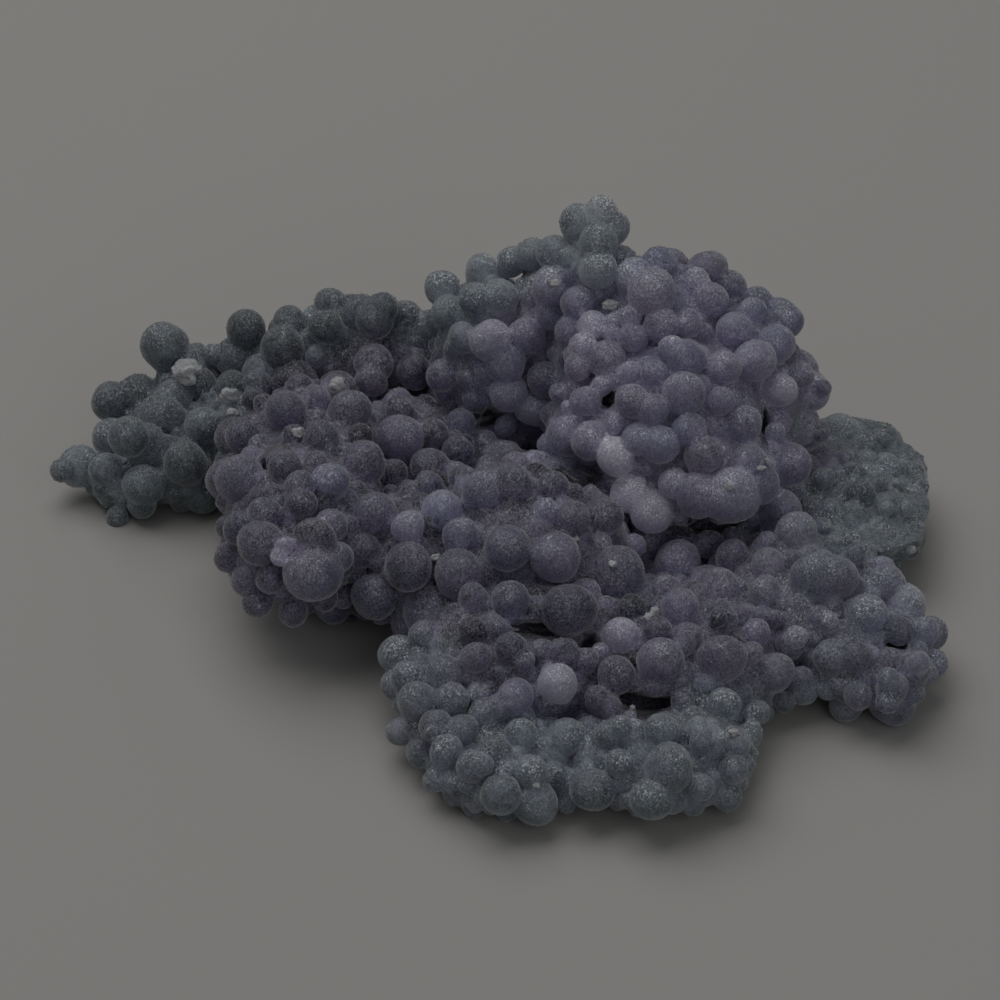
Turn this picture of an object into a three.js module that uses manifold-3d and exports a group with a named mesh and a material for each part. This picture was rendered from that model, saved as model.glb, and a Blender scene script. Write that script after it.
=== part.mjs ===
import * as THREE from 'three';
import { SimplifyModifier } from 'three/addons/modifiers/SimplifyModifier.js';
import { mergeVertices } from 'three/addons/utils/BufferGeometryUtils.js';
import Module from 'manifold-3d';

// Botryoidal chalcedony: one crust of round lobes, set all over with grape-like beads that have grown
// into it and into each other, and cut flat where it rests. Millimetres, +Z up, the front is -Y.
// The origin lies in the flat seat, under the middle of the specimen.

// The line of sight that the beads are measured along: it looks down from the front.
const sightElevation = THREE.MathUtils.degToRad(35);
const sightDistance = 300;
const sightTarget = new THREE.Vector3(0, 3.5, 8);

// How far the measured beads stand out of the crust, in parts of their radius.
const beadProud = 0.3;
const beadSwell = 1.03;

// The beads between them, and the larger ones on the sides that the line of sight misses.
const fillBead = { least: 1.1, most: 1.6, spacing: 0.86 };
const hiddenBead = { least: 1.7, most: 2.5, spacing: 0.78 };
const triesPerLobe = 90;
const lowestBead = 1.2;
const seenMargin = 1;

// Beads over this radius are drawn rounder. A pinch is a place where two gaps close up to an edge, and the
// bead that fills it reaches past the edge's ends.
const largeBead = 1.5;
const pinchShare = 0.6;
const pinchMargin = 0.3;
const seatHeight = 0;

// How many corners the faceted surface keeps.
const cornerCount = 3950;

// The crust: centre x, y, z and half-sizes x, y, z of each lobe.
const lobes = {
  peak: [7.3, 18.5, 14.5, 3.4, 4.2, 9.5],
  moundTop: [12, 16.5, 11.5, 8.5, 8.0, 10.0],
  moundMiddle: [13.5, 11, 8.5, 10.0, 9.0, 10.0],
  moundFront: [16, 7.5, 7.5, 8.0, 7.0, 7.5],
  backRim: [-0.8, 20.5, 8.5, 5.0, 6.5, 9.3],
  backMiddle: [3.5, 20.5, 9, 4.5, 6.0, 9.8],
  backRight: [19.5, 14.5, 9.3, 5.6, 7.5, 9.4],
  centre: [2, -1, 4.5, 9.0, 9.5, 8.0],
  centreBack: [3, 6, 4, 7.0, 7.0, 6.0],
  centreFront: [2, -12, 3.5, 9.0, 8.5, 5.8],
  leftMass: [-15.5, 1.5, 8, 6.6, 9.5, 5.0],
  leftMassBack: [-15.5, 11, 6, 6.5, 8.0, 6.0],
  leftKeel: [-13, 3, 3.5, 5.0, 6.0, 5.5],
  neck: [-6.5, -1, 6, 5.0, 7.0, 5.0],
  valley: [-8, 14, 3.5, 10.0, 8.0, 5.5],
  backRidge: [-12.5, 24.5, 5, 10.5, 5.0, 7.3],
  wing: [-27, 19.5, 2.6, 5.0, 7.5, 3.6],
  wingBack: [-26.5, 24.5, 4, 3.2, 3.6, 4.2],
  wingTip: [-31, 15.5, 1.8, 3.6, 3.5, 2.0],
  wingRoot: [-21, 20, 4, 5.5, 6.0, 4.2],
  bed: [11, 0, 0.5, 13.0, 12.0, 4.2],
  plate: [12.5, -11.5, 2.8, 9.5, 9.5, 5.0],
  rightShoulder: [24, -4, 4, 7.0, 8.5, 4.2],
  slab: [28, 9, 3.2, 6.0, 8.0, 3.5],
  rightCorner: [28.3, -10, 3.2, 5.6, 6.2, 2.8],
  frontLip: [12, -22, 2.6, 7.3, 6.2, 3.0],
  frontTongue: [0, -21, 2.4, 6.0, 7.0, 3.0],
  leftTongue: [-4.5, -15.5, 3.2, 3.5, 7.0, 3.4],
};

// The beads of the seen side, by the part of the crust they grow on: across and up on the plane through
// the sight target, square to the line of sight, and the radius seen there.
const seenBeads = {
  peak: [
    [6.3, 22.1, 1.5], [8.1, 23.0, 1.35], [8.9, 21.7, 1.5], [7.9, 20.6, 1.6], [7.9, 18.4, 1.5],
  ],
  backRim: [
    [4.4, 19.7, 1.5], [2.6, 19.6, 1.35], [0.9, 19.0, 1.25], [-1.4, 18.4, 1.4], [0, 16.3, 1.55],
    [-1.9, 16.1, 1.4], [-4.6, 17.0, 1.5], [-4.1, 15.1, 1.4], [-5.7, 13.9, 1.4], [-3.0, 13.0, 1.3],
  ],
  mound: [
    [4.3, 17.1, 1.85], [4.1, 15.1, 1.45], [6.3, 15.7, 1.4], [-0.8, 12.7, 1.7], [2.1, 13.2, 1.45],
    [5.7, 13.5, 1.4], [7.4, 13.9, 1.2], [6.5, 11.4, 1.4], [3.7, 9.6, 1.5], [10.7, 12.9, 1.25],
    [8.6, 11.2, 1.5], [10.7, 17.9, 1.6], [12.7, 18.7, 1.5], [12.2, 16.7, 2.1], [0.5, 11.0, 1.6],
    [0.6, 8.6, 1.5], [16.9, 15.9, 1.4], [12.9, 14.0, 1.4], [15.0, 14.1, 1.2], [18.7, 13.7, 1.4],
    [14.9, 11.4, 1.55], [17.8, 10.6, 1.5], [22.2, 12.5, 1.5], [20.4, 11.2, 1.7], [22.4, 8.8, 1.4],
    [24.7, 8.6, 1.7], [14.7, 8.6, 1.7], [17.7, 7.9, 1.2], [19.5, 6.1, 1.5], [15.1, 5.6, 1.4],
    [16.3, 3.6, 1.6], [20.0, 3.0, 1.5], [23.2, 2.9, 1.75], [24.4, 5.4, 1.5], [18.3, 0.4, 2.4],
    [15.9, 0.3, 1.9], [20.6, 1.2, 1.7], [13.9, 1.3, 1.25], [10.3, 0.5, 1.6], [12.1, -0.9, 1.75],
    [9.2, 3.5, 1.6], [2.8, 7.4, 1.55], [6.8, 7.9, 1.2], [5.3, 5.1, 1.6], [7.3, 4.7, 1.65],
    [11.0, 4.9, 1.3], [12.9, 4.4, 1.5], [10.6, 7.9, 1.45], [12.2, 7.2, 1.3],
  ],
  backRight: [
    [16.6, 18.4, 1.6], [18.3, 17.0, 1.4], [20.5, 15.7, 1.4], [22.4, 14.7, 1.6],
  ],
  centre: [
    [-1.3, 0.6, 1.75], [0.9, 1.4, 1.7], [4.2, 1.1, 1.3], [0.6, -3.9, 1.9], [4.5, -4.6, 2.0],
    [9.5, -5.9, 2.2], [5.9, -1.4, 1.3], [8.3, -1.3, 1.5], [-3.1, -2.9, 1.5], [-3.3, -5.8, 2.0],
    [11.7, -3.6, 1.7], [14.3, -5.1, 2.0], [17.4, -7.1, 1.75], [18.6, -4.6, 1.4], [5.6, -8.8, 2.3],
    [0.9, -8.0, 1.6], [-4.6, -0.9, 1.7], [-3.6, 1.6, 1.5], [-5.7, 2.7, 1.6], [-3.4, 3.9, 1.3],
    [-5.6, -8.9, 2.1], [-7.2, -10.0, 1.6], [-2.1, -7.9, 1.3],
  ],
  rightShoulder: [
    [22.3, -0.9, 1.9], [23.6, -2.6, 1.8], [21.4, -5.3, 1.4], [21.1, -7.3, 1.3], [25.2, -6.2, 1.9],
    [27.0, -6.3, 1.7], [30.8, -6.7, 1.7], [29.3, -9.2, 1.7], [32.3, -8.4, 1.75], [34.0, -10.5, 1.25],
    [26.4, -12.5, 1.45], [22.0, -13.8, 1.65], [28.6, -12.5, 1.2], [33.0, -13.6, 1.4],
    [31.3, -15.0, 1.3],
  ],
  slab: [
    [24.1, 5.7, 1.2], [27.1, 5.3, 1.7], [29.4, 4.0, 1.5], [31.2, 4.6, 1.2], [31.0, 2.6, 1.2],
    [33.0, 1.9, 1.3], [28.9, 0.4, 1.3], [31.2, -0.6, 1.4], [33.0, -1.2, 1.2], [27.1, -3.6, 1.2],
    [30.9, -3.6, 1.3], [32.6, -3.6, 1.1],
  ],
  plate: [
    [14.4, -8.7, 1.6], [12.9, -12.9, 1.9], [12.6, -10.4, 1.2], [17.8, -12.6, 1.95], [20.5, -10.6, 1.2],
    [9.7, -10.7, 1.5], [4.7, -14.7, 1.65], [9.3, -14.0, 1.6], [0.9, -12.0, 1.4], [-1.9, -12.6, 1.3],
    [1.3, -15.7, 1.5], [8.2, -16.2, 1.3],
  ],
  frontLip: [
    [18.0, -16.3, 1.3], [20.6, -17.0, 1.1], [22.7, -16.2, 1.0], [24.2, -15.2, 1.3], [16.6, -19.1, 1.3],
    [18.7, -21.6, 1.2], [16.0, -22.9, 1.2], [13.4, -21.4, 2.0], [12.9, -18.4, 1.5], [12.0, -24.0, 1.8],
    [1.7, -18.7, 1.3], [5.3, -19.0, 1.55], [-0.4, -20.2, 1.3], [2.4, -21.7, 1.4], [8.9, -18.9, 1.4],
    [9.5, -21.0, 1.2], [7.4, -23.1, 1.8], [0.0, -23.6, 1.7], [3.0, -24.3, 1.75], [5.3, -22.6, 1.3],
  ],
  leftTongue: [
    [-3.1, -18.4, 1.3], [-3.8, -15.9, 1.4], [-6.7, -16.1, 1.65], [-7.4, -14.2, 1.4],
    [-8.0, -18.5, 1.2], [-5.0, -18.2, 1.4], [-4.3, -20.2, 1.4], [-2.2, -21.3, 1.3], [-8.1, -12.4, 1.6],
    [-4.4, -13.9, 1.5],
  ],
  leftMass: [
    [-20.9, 1.6, 2.0], [-19.2, -3.4, 1.8], [-14.9, -6.0, 2.4], [-14.9, -3.1, 1.75], [-13.0, -4.5, 1.3],
    [-17.4, -4.1, 1.1], [-10.1, -1.2, 1.9], [-7.3, -2.1, 1.4], [-7.3, -5.3, 1.95], [-8.1, 5.0, 1.95],
    [-11.0, 2.9, 1.8], [-13.7, 1.5, 1.6], [-17.1, 2.6, 1.4], [-14.3, 4.9, 1.5], [-17.2, 7.1, 1.6],
    [-12.0, 7.0, 1.75], [-16.4, 9.2, 2.0], [-20.5, 5.0, 1.6], [-15.9, -0.3, 1.3], [-10.1, -7.6, 1.9],
    [-18.4, -6.4, 1.2], [-13.5, -1.9, 1.3], [-18.9, -1.1, 1.4], [-16.6, -8.9, 1.3], [-19.4, -8.3, 1.2],
    [-13.4, -8.6, 1.3], [-5.4, 5.3, 1.3], [-20.1, -6.4, 1.4], [-12.3, -9.9, 0.8],
  ],
  wing: [
    [-26.7, 12.2, 2.0], [-31.0, 7.9, 1.6], [-28.9, 8.3, 1.7], [-30.9, 5.0, 1.7], [-33.7, 2.7, 1.7],
    [-31.5, 2.4, 1.4], [-28.4, 4.4, 1.8], [-23.8, 6.0, 1.4], [-25.2, 3.0, 1.9], [-28.6, 1.2, 1.7],
    [-28.6, -0.4, 1.2], [-26.2, 8.1, 1.6], [-24.0, 9.3, 1.4],
  ],
  backRidge: [
    [-20.3, 13.6, 1.6], [-21.2, 11.5, 1.6], [-17.4, 12.1, 1.7], [-16.8, 14.1, 1.4], [-14.0, 13.8, 1.5],
    [-13.6, 15.7, 1.3], [-11.1, 15.0, 1.5], [-9.3, 14.9, 1.5], [-7.6, 14.7, 1.4], [-10.1, 10.9, 1.6],
    [-6.9, 10.2, 1.5], [-4.6, 9.9, 1.3], [-19.0, 10.2, 1.5], [-8.2, 7.6, 1.3],
  ],
};

const crust = Object.values(lobes).map(([x, y, z, halfX, halfY, halfZ]) => ({
  centre: new THREE.Vector3(x, y, z),
  halves: new THREE.Vector3(halfX, halfY, halfZ),
}));

const wasm = await Module();
wasm.setup();

// The eye, and the ray from it through a point of the sight plane.
const forward = new THREE.Vector3(0, Math.cos(sightElevation), -Math.sin(sightElevation));
const upward = new THREE.Vector3(0, Math.sin(sightElevation), Math.cos(sightElevation));
const eye = sightTarget.clone().addScaledVector(forward, -sightDistance);

function sightRay(across, up) {
  return new THREE.Vector3(across, 0, 0).addScaledVector(upward, up).addScaledVector(forward, sightDistance);
}

// How far along a ray from the eye the crust is met, or passed closest where the ray misses it.
function depthOfCrust(ray) {
  let hit = Infinity;
  const pass = { level: Infinity, depth: 1 };
  for (const { centre, halves } of crust) {
    const from = eye.clone().sub(centre).divide(halves);
    const along = ray.clone().divide(halves);
    const a = along.dot(along);
    const b = from.dot(along);
    const level = from.dot(from) - (b * b) / a;
    if (level < 1) {
      hit = Math.min(hit, (-b - Math.sqrt(a * (1 - level))) / a);
    } else if (level < pass.level) {
      pass.level = level;
      pass.depth = -b / a;
    }
  }
  return hit < Infinity ? hit : pass.depth;
}

function seenBead([across, up, seenRadius]) {
  const ray = sightRay(across, up);
  const depth = depthOfCrust(ray) - (beadProud * seenRadius) / sightDistance;
  return { centre: eye.clone().addScaledVector(ray, depth), radius: seenRadius * depth * beadSwell };
}

// The same row of numbers between 0 and 1 on every run.
const randomFactor = 1664525;
const randomStep = 1013904223;
const randomRange = 2 ** 32;
let randomState = 7;

function random() {
  randomState = (randomState * randomFactor + randomStep) % randomRange;
  return randomState / randomRange;
}

function isInside(point, { centre, halves }) {
  return point.clone().sub(centre).divide(halves).lengthSq() < 1;
}

function isSeen(point) {
  const ray = point.clone().sub(eye);
  return depthOfCrust(ray) * ray.length() > ray.length() - seenMargin;
}

// Beads for the rest of the crust, at points spread evenly over each lobe by the golden angle.
function addOtherBeads(beads) {
  const goldenAngle = Math.PI * (3 - Math.sqrt(5));
  for (const lobe of crust) {
    for (let i = 0; i < triesPerLobe; i++) {
      const height = 1 - (2 * i + 1) / triesPerLobe;
      const ring = Math.sqrt(1 - height * height);
      const turn = goldenAngle * i + random();
      const direction = new THREE.Vector3(ring * Math.cos(turn), ring * Math.sin(turn), height);
      const centre = direction.multiply(lobe.halves).add(lobe.centre);
      const { least, most, spacing } = isSeen(centre) ? fillBead : hiddenBead;
      const radius = THREE.MathUtils.lerp(least, most, random());
      const isBuried = crust.some((other) => other !== lobe && isInside(centre, other));
      const isCrowded = beads.some(
        (bead) => bead.centre.distanceTo(centre) < spacing * (bead.radius + radius),
      );
      if (centre.z > lowestBead && !isBuried && !isCrowded) beads.push({ centre, radius });
    }
  }
}

// A closed three.js geometry as a solid that can be joined and cut, and back.
function solidFrom(geometry) {
  const closed = geometry.clone();
  closed.deleteAttribute('normal');
  closed.deleteAttribute('uv');
  const merged = mergeVertices(closed, 1e-5);
  const triVerts = new Uint32Array(merged.index.array);
  const vertProperties = merged.attributes.position.array;
  return new wasm.Manifold(new wasm.Mesh({ numProp: 3, vertProperties, triVerts }));
}

function geometryFrom(solid) {
  const { vertProperties, triVerts } = solid.getMesh();
  const geometry = new THREE.BufferGeometry();
  geometry.setAttribute('position', new THREE.Float32BufferAttribute(vertProperties, 3));
  geometry.setIndex(new THREE.BufferAttribute(triVerts, 1));
  return geometry;
}

function lobeSolid({ centre, halves }) {
  const geometry = new THREE.IcosahedronGeometry(1, 2);
  geometry.scale(halves.x, halves.y, halves.z);
  geometry.translate(centre.x, centre.y, centre.z);
  return solidFrom(geometry);
}

function beadSolid({ centre, radius }) {
  const Shape = radius > largeBead ? THREE.IcosahedronGeometry : THREE.OctahedronGeometry;
  const geometry = new Shape(radius, 1);
  geometry.rotateZ(centre.x);
  geometry.rotateX(centre.y);
  geometry.translate(centre.x, centre.y, centre.z);
  return solidFrom(geometry);
}

function belowSeat() {
  const reach = 200;
  const geometry = new THREE.BoxGeometry(reach, reach, reach);
  geometry.translate(0, 0, seatHeight - reach / 2);
  return solidFrom(geometry);
}

// Edges where two gaps between beads close up to nothing, so that four faces meet.
function pinchedEdges(solid) {
  const merged = mergeVertices(geometryFrom(solid), 1e-3);
  const corner = (index) => new THREE.Vector3().fromBufferAttribute(merged.attributes.position, index);
  const facesOn = new Map();
  for (let i = 0; i < merged.index.count; i++) {
    const a = merged.index.getX(i);
    const b = merged.index.getX(i % 3 === 2 ? i - 2 : i + 1);
    const key = Math.min(a, b) + ' ' + Math.max(a, b);
    facesOn.set(key, (facesOn.get(key) ?? 0) + 1);
  }
  const pinched = [...facesOn.keys()].filter((key) => facesOn.get(key) > 2);
  return pinched.map((key) => key.split(' ').map((index) => corner(Number(index))));
}

// A small bead over such an edge, so that the surface stays closed there.
function pinchBead([from, to]) {
  const radius = pinchShare * from.distanceTo(to) + pinchMargin;
  return { centre: from.clone().lerp(to, 0.5), radius };
}

// The outer skin alone, without the gaps that stay sealed between beads.
function outerSkin(solid) {
  return solid.decompose().reduce((a, b) => (a.volume() > b.volume() ? a : b));
}

const beads = Object.values(seenBeads).flat().map(seenBead);
addOtherBeads(beads);

// The lobes and beads grown together, drawn with fewer corners, then cut flat at the seat.
const grown = outerSkin([...crust.map(lobeSolid), ...beads.map(beadSolid)].reduce((a, b) => a.add(b)));
const fine = geometryFrom(grown);
const spareCorners = fine.attributes.position.count - cornerCount;
const faceted = await new SimplifyModifier().modify(fine, spareCorners);
let solid = solidFrom(faceted);
for (const edge of pinchedEdges(solid)) solid = solid.add(beadSolid(pinchBead(edge)));
const specimen = outerSkin(solid.subtract(belowSeat()));

const chalcedony = new THREE.MeshStandardMaterial({ color: 0x847c8e, roughness: 0.5, metalness: 0 });
const surface = geometryFrom(specimen).toNonIndexed();
surface.computeVertexNormals();
const mesh = new THREE.Mesh(surface, chalcedony);
mesh.name = 'botryoidal_chalcedony';

const part = new THREE.Group();
part.add(mesh);

export default part;
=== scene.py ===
import math

import bmesh
import bpy
import numpy as np
from mathutils import Matrix, Vector, noise


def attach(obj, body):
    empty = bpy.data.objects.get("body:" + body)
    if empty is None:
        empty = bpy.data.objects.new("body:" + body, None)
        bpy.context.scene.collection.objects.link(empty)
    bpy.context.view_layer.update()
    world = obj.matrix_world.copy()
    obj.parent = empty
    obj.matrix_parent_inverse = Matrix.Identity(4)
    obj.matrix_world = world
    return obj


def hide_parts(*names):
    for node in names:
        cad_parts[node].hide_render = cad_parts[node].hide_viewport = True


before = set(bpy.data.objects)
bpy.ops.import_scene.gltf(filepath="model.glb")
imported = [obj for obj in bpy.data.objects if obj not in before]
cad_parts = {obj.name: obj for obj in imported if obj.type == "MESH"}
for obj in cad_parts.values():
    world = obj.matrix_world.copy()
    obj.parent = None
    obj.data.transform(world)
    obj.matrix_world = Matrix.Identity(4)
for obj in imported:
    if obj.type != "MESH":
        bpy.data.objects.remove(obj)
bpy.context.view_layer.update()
mm = 0.001
drawsStart = 11
draws = np.random.RandomState(drawsStart)
print("frame loaded,", len(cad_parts), "node")


# line of sight

# the beads are measured along this line, which looks down from the front
sight = {
    "elevation": 35,            # degrees above the table
    "distance": 300,            # mm from the target
    "target": (0, 3.5, 8),
    "lens": 135,
    "filmWidth": 36,
    "clip": (0.01, 10),         # nearest and farthest that the camera shows, in metres
}
elevation = math.radians(sight["elevation"])
forward = np.array([0, math.cos(elevation), -math.sin(elevation)])
upward = np.array([0, math.sin(elevation), math.cos(elevation)])
eye = np.array(sight["target"]) - forward * sight["distance"]


def sightRay(across, up):
    # from the eye to a point of the plane through the target, square to the line of sight
    return np.array([across, 0, 0]) + upward * up + forward * sight["distance"]


# crust and beads: where they are

# centre x, y, z and half sizes x, y, z of each lobe, in mm
lobes = {
    "peak": (7.3, 18.5, 14.5, 3.4, 4.2, 9.5),
    "moundTop": (12, 16.5, 11.5, 8.5, 8.0, 10.0),
    "moundMiddle": (13.5, 11, 8.5, 10.0, 9.0, 10.0),
    "moundFront": (16, 7.5, 7.5, 8.0, 7.0, 7.5),
    "backRim": (-0.8, 20.5, 8.5, 5.0, 6.5, 9.3),
    "backMiddle": (3.5, 20.5, 9, 4.5, 6.0, 9.8),
    "backRight": (19.5, 14.5, 9.3, 5.6, 7.5, 9.4),
    "centre": (2, -1, 4.5, 9.0, 9.5, 8.0),
    "centreBack": (3, 6, 4, 7.0, 7.0, 6.0),
    "centreFront": (2, -12, 3.5, 9.0, 8.5, 5.8),
    "leftMass": (-15.5, 1.5, 8, 6.6, 9.5, 5.0),
    "leftMassBack": (-15.5, 11, 6, 6.5, 8.0, 6.0),
    "leftKeel": (-13, 3, 3.5, 5.0, 6.0, 5.5),
    "neck": (-6.5, -1, 6, 5.0, 7.0, 5.0),
    "valley": (-8, 14, 3.5, 10.0, 8.0, 5.5),
    "backRidge": (-12.5, 24.5, 5, 10.5, 5.0, 7.3),
    "wing": (-27, 19.5, 2.6, 5.0, 7.5, 3.6),
    "wingBack": (-26.5, 24.5, 4, 3.2, 3.6, 4.2),
    "wingTip": (-31, 15.5, 1.8, 3.6, 3.5, 2.0),
    "wingRoot": (-21, 20, 4, 5.5, 6.0, 4.2),
    "bed": (11, 0, 0.5, 13.0, 12.0, 4.2),
    "plate": (12.5, -11.5, 2.8, 9.5, 9.5, 5.0),
    "rightShoulder": (24, -4, 4, 7.0, 8.5, 4.2),
    "slab": (28, 9, 3.2, 6.0, 8.0, 3.5),
    "rightCorner": (28.3, -10, 3.2, 5.6, 6.2, 2.8),
    "frontLip": (12, -22, 2.6, 7.3, 6.2, 3.0),
    "frontTongue": (0, -21, 2.4, 6.0, 7.0, 3.0),
    "leftTongue": (-4.5, -15.5, 3.2, 3.5, 7.0, 3.4),
}

# across, up and seen radius of each bead on the plane square to the line of sight, in mm
seenBeads = {
    "peak": [
        (6.3, 22.1, 1.5), (8.1, 23.0, 1.35), (8.9, 21.7, 1.5), (7.9, 20.6, 1.6), (7.9, 18.4, 1.5),
    ],
    "backRim": [
        (4.4, 19.7, 1.5), (2.6, 19.6, 1.35), (0.9, 19.0, 1.25), (-1.4, 18.4, 1.4), (0, 16.3, 1.55),
        (-1.9, 16.1, 1.4), (-4.6, 17.0, 1.5), (-4.1, 15.1, 1.4), (-5.7, 13.9, 1.4), (-3.0, 13.0, 1.3),
    ],
    "mound": [
        (4.3, 17.1, 1.85), (4.1, 15.1, 1.45), (6.3, 15.7, 1.4), (-0.8, 12.7, 1.7), (2.1, 13.2, 1.45),
        (5.7, 13.5, 1.4), (7.4, 13.9, 1.2), (6.5, 11.4, 1.4), (3.7, 9.6, 1.5), (10.7, 12.9, 1.25),
        (8.6, 11.2, 1.5), (10.7, 17.9, 1.6), (12.7, 18.7, 1.5), (12.2, 16.7, 2.1), (0.5, 11.0, 1.6),
        (0.6, 8.6, 1.5), (16.9, 15.9, 1.4), (12.9, 14.0, 1.4), (15.0, 14.1, 1.2), (18.7, 13.7, 1.4),
        (14.9, 11.4, 1.55), (17.8, 10.6, 1.5), (22.2, 12.5, 1.5), (20.4, 11.2, 1.7), (22.4, 8.8, 1.4),
        (24.7, 8.6, 1.7), (14.7, 8.6, 1.7), (17.7, 7.9, 1.2), (19.5, 6.1, 1.5), (15.1, 5.6, 1.4),
        (16.3, 3.6, 1.6), (20.0, 3.0, 1.5), (23.2, 2.9, 1.75), (24.4, 5.4, 1.5), (18.3, 0.4, 2.4),
        (15.9, 0.3, 1.9), (20.6, 1.2, 1.7), (13.9, 1.3, 1.25), (10.3, 0.5, 1.6), (12.1, -0.9, 1.75),
        (9.2, 3.5, 1.6), (2.8, 7.4, 1.55), (6.8, 7.9, 1.2), (5.3, 5.1, 1.6), (7.3, 4.7, 1.65),
        (11.0, 4.9, 1.3), (12.9, 4.4, 1.5), (10.6, 7.9, 1.45), (12.2, 7.2, 1.3),
    ],
    "backRight": [
        (16.6, 18.4, 1.6), (18.3, 17.0, 1.4), (20.5, 15.7, 1.4), (22.4, 14.7, 1.6),
    ],
    "centre": [
        (-1.3, 0.6, 1.75), (0.9, 1.4, 1.7), (4.2, 1.1, 1.3), (0.6, -3.9, 1.9), (4.5, -4.6, 2.0),
        (9.5, -5.9, 2.2), (5.9, -1.4, 1.3), (8.3, -1.3, 1.5), (-3.1, -2.9, 1.5), (-3.3, -5.8, 2.0),
        (11.7, -3.6, 1.7), (14.3, -5.1, 2.0), (17.4, -7.1, 1.75), (18.6, -4.6, 1.4), (5.6, -8.8, 2.3),
        (0.9, -8.0, 1.6), (-4.6, -0.9, 1.7), (-3.6, 1.6, 1.5), (-5.7, 2.7, 1.6), (-3.4, 3.9, 1.3),
        (-5.6, -8.9, 2.1), (-7.2, -10.0, 1.6), (-2.1, -7.9, 1.3),
    ],
    "rightShoulder": [
        (22.3, -0.9, 1.9), (23.6, -2.6, 1.8), (21.4, -5.3, 1.4), (21.1, -7.3, 1.3), (25.2, -6.2, 1.9),
        (27.0, -6.3, 1.7), (30.8, -6.7, 1.7), (29.3, -9.2, 1.7), (32.3, -8.4, 1.75), (34.0, -10.5, 1.25),
        (26.4, -12.5, 1.45), (22.0, -13.8, 1.65), (28.6, -12.5, 1.2), (33.0, -13.6, 1.4),
        (31.3, -15.0, 1.3),
    ],
    "slab": [
        (24.1, 5.7, 1.2), (27.1, 5.3, 1.7), (29.4, 4.0, 1.5), (31.2, 4.6, 1.2), (31.0, 2.6, 1.2),
        (33.0, 1.9, 1.3), (28.9, 0.4, 1.3), (31.2, -0.6, 1.4), (33.0, -1.2, 1.2), (27.1, -3.6, 1.2),
        (30.9, -3.6, 1.3), (32.6, -3.6, 1.1),
    ],
    "plate": [
        (14.4, -8.7, 1.6), (12.9, -12.9, 1.9), (12.6, -10.4, 1.2), (17.8, -12.6, 1.95), (20.5, -10.6, 1.2),
        (9.7, -10.7, 1.5), (4.7, -14.7, 1.65), (9.3, -14.0, 1.6), (0.9, -12.0, 1.4), (-1.9, -12.6, 1.3),
        (1.3, -15.7, 1.5), (8.2, -16.2, 1.3),
    ],
    "frontLip": [
        (18.0, -16.3, 1.3), (20.6, -17.0, 1.1), (22.7, -16.2, 1.0), (24.2, -15.2, 1.3), (16.6, -19.1, 1.3),
        (18.7, -21.6, 1.2), (16.0, -22.9, 1.2), (13.4, -21.4, 2.0), (12.9, -18.4, 1.5), (12.0, -24.0, 1.8),
        (1.7, -18.7, 1.3), (5.3, -19.0, 1.55), (-0.4, -20.2, 1.3), (2.4, -21.7, 1.4), (8.9, -18.9, 1.4),
        (9.5, -21.0, 1.2), (7.4, -23.1, 1.8), (0.0, -23.6, 1.7), (3.0, -24.3, 1.75), (5.3, -22.6, 1.3),
    ],
    "leftTongue": [
        (-3.1, -18.4, 1.3), (-3.8, -15.9, 1.4), (-6.7, -16.1, 1.65), (-7.4, -14.2, 1.4),
        (-8.0, -18.5, 1.2), (-5.0, -18.2, 1.4), (-4.3, -20.2, 1.4), (-2.2, -21.3, 1.3), (-8.1, -12.4, 1.6),
        (-4.4, -13.9, 1.5),
    ],
    "leftMass": [
        (-20.9, 1.6, 2.0), (-19.2, -3.4, 1.8), (-14.9, -6.0, 2.4), (-14.9, -3.1, 1.75), (-13.0, -4.5, 1.3),
        (-17.4, -4.1, 1.1), (-10.1, -1.2, 1.9), (-7.3, -2.1, 1.4), (-7.3, -5.3, 1.95), (-8.1, 5.0, 1.95),
        (-11.0, 2.9, 1.8), (-13.7, 1.5, 1.6), (-17.1, 2.6, 1.4), (-14.3, 4.9, 1.5), (-17.2, 7.1, 1.6),
        (-12.0, 7.0, 1.75), (-16.4, 9.2, 2.0), (-20.5, 5.0, 1.6), (-15.9, -0.3, 1.3), (-10.1, -7.6, 1.9),
        (-18.4, -6.4, 1.2), (-13.5, -1.9, 1.3), (-18.9, -1.1, 1.4), (-16.6, -8.9, 1.3), (-19.4, -8.3, 1.2),
        (-13.4, -8.6, 1.3), (-5.4, 5.3, 1.3), (-20.1, -6.4, 1.4), (-12.3, -9.9, 0.8),
    ],
    "wing": [
        (-26.7, 12.2, 2.0), (-31.0, 7.9, 1.6), (-28.9, 8.3, 1.7), (-30.9, 5.0, 1.7), (-33.7, 2.7, 1.7),
        (-31.5, 2.4, 1.4), (-28.4, 4.4, 1.8), (-23.8, 6.0, 1.4), (-25.2, 3.0, 1.9), (-28.6, 1.2, 1.7),
        (-28.6, -0.4, 1.2), (-26.2, 8.1, 1.6), (-24.0, 9.3, 1.4),
    ],
    "backRidge": [
        (-20.3, 13.6, 1.6), (-21.2, 11.5, 1.6), (-17.4, 12.1, 1.7), (-16.8, 14.1, 1.4), (-14.0, 13.8, 1.5),
        (-13.6, 15.7, 1.3), (-11.1, 15.0, 1.5), (-9.3, 14.9, 1.5), (-7.6, 14.7, 1.4), (-19.0, 10.2, 1.5),
    ],
    "valley": [
        (-10.1, 10.9, 1.6), (-6.9, 10.2, 1.5), (-4.6, 9.9, 1.3), (-8.2, 7.6, 1.3),
    ],
}

lobeCentres = np.array([lobe[:3] for lobe in lobes.values()])
lobeHalves = np.array([lobe[3:] for lobe in lobes.values()])

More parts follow.
